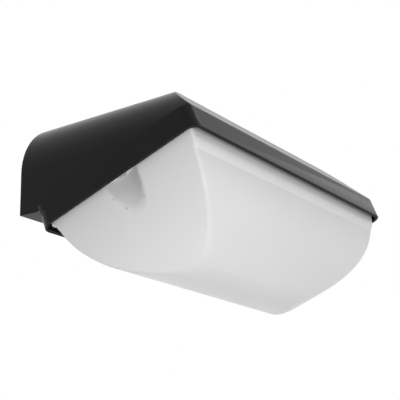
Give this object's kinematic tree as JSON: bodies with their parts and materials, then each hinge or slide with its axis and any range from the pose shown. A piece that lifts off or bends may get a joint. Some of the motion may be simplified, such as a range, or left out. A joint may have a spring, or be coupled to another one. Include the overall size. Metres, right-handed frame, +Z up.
{
  "type": "porch light",
  "caption": "Wall-mounted wedge-shaped porch light: a dark moulded body with a tilted rim and a white opal bowl below it, held by a screw in a scooped pocket at each end.",
  "frame": {"origin": "on the wall plane, midway between the two wall-fixing holes", "axes": "+X along the wall to the right as seen by someone facing the wall, +Y into the wall, +Z up"},
  "size_m": [0.33, 0.1708, 0.1395],
  "materials": {
    "body": "satin moulded",
    "bowl": "opal, smooth satin gloss",
    "rubber": "matt",
    "screw": "polished",
    "zinc": "zinc plated",
    "brass": "plain",
    "porcelain": "glazed",
    "tray": "smooth white",
    "lamp_cap": "nickel plated",
    "lamp_bulb": "frosted white",
    "terminal": "natural",
    "live_wire": "brown insulation",
    "neutral_wire": "blue insulation"
  },
  "bodies": {
    "base": {"housing": "body", "rim_seal": "rubber", "screw_inserts": "brass", "cable_grommet": "rubber", "fixing_washers": "rubber", "reflector_tray": "tray", "tray_screws": "zinc", "lampholder_bracket": "zinc", "bracket_screws": "zinc", "lampholder_body": "porcelain", "lampholder_shell": "brass", "centre_contact": "brass", "side_contact": "brass", "lampholder_screws": "zinc", "terminal_block": "terminal", "terminal_tubes": "brass", "terminal_fixing_screw": "zinc", "live_wire": "live_wire", "neutral_wire": "neutral_wire", "cable_clamp": "terminal", "clamp_screws": "zinc"},
    "diffuser": {"diffuser": "bowl", "screw_washers": "rubber"},
    "bowl_screw_left": {"bowl_screw_left": "screw", "retaining_clip_left": "zinc"},
    "bowl_screw_right": {"bowl_screw_right": "screw", "retaining_clip_right": "zinc"},
    "lamp_advance": {"lamp_tip": "lamp_cap"},
    "lamp": {"lamp_cap": "lamp_cap", "lamp_bulb": "lamp_bulb"},
    "terminal_screw_1": {"terminal_screw_1": "zinc"},
    "terminal_screw_2": {"terminal_screw_2": "zinc"},
    "terminal_screw_3": {"terminal_screw_3": "zinc"},
    "terminal_screw_4": {"terminal_screw_4": "zinc"}
  },
  "joints": [
    {"name": "bowl_lift_off", "type": "slide", "parent": "base", "child": "diffuser", "axis": [0, -0.3681, -0.9298], "range_m": [0, 0.08]},
    {"name": "bowl_screw_left_turn", "type": "hinge", "parent": "diffuser", "child": "bowl_screw_left", "pos_m": [-0.1556, -0.09636, -0.02275], "axis": [0, -0.3681, -0.9298], "range_deg": [0, 4590]},
    {"name": "bowl_screw_right_turn", "type": "hinge", "parent": "diffuser", "child": "bowl_screw_right", "pos_m": [0.1556, -0.09636, -0.02275], "axis": [0, -0.3681, -0.9298], "range_deg": [0, 4590]},
    {"name": "lamp_travel", "type": "slide", "parent": "base", "child": "lamp_advance", "axis": [-1, 0, 0], "range_m": [0, 0.022]},
    {"name": "lamp_unscrew", "type": "hinge", "parent": "lamp_advance", "child": "lamp", "pos_m": [0, -0.09738, -0.02805], "axis": [-1, 0, 0], "range_deg": [0, 2160]},
    {"name": "terminal_screw_1_turn", "type": "hinge", "parent": "base", "child": "terminal_screw_1", "pos_m": [0.096, -0.09653, -0.00688], "axis": [0, -0.3681, -0.9298], "range_deg": [0, 1530]},
    {"name": "terminal_screw_2_turn", "type": "hinge", "parent": "base", "child": "terminal_screw_2", "pos_m": [0.108, -0.09653, -0.00688], "axis": [0, -0.3681, -0.9298], "range_deg": [0, 1530]},
    {"name": "terminal_screw_3_turn", "type": "hinge", "parent": "base", "child": "terminal_screw_3", "pos_m": [0.096, -0.08351, -0.01203], "axis": [0, -0.3681, -0.9298], "range_deg": [0, 1530]},
    {"name": "terminal_screw_4_turn", "type": "hinge", "parent": "base", "child": "terminal_screw_4", "pos_m": [0.108, -0.08351, -0.01203], "axis": [0, -0.3681, -0.9298], "range_deg": [0, 1530]}
  ],
  "couplings": [
    {"joint": "lamp_travel", "follows": "lamp_unscrew", "m_per_rad": 0.00057757}
  ]
}
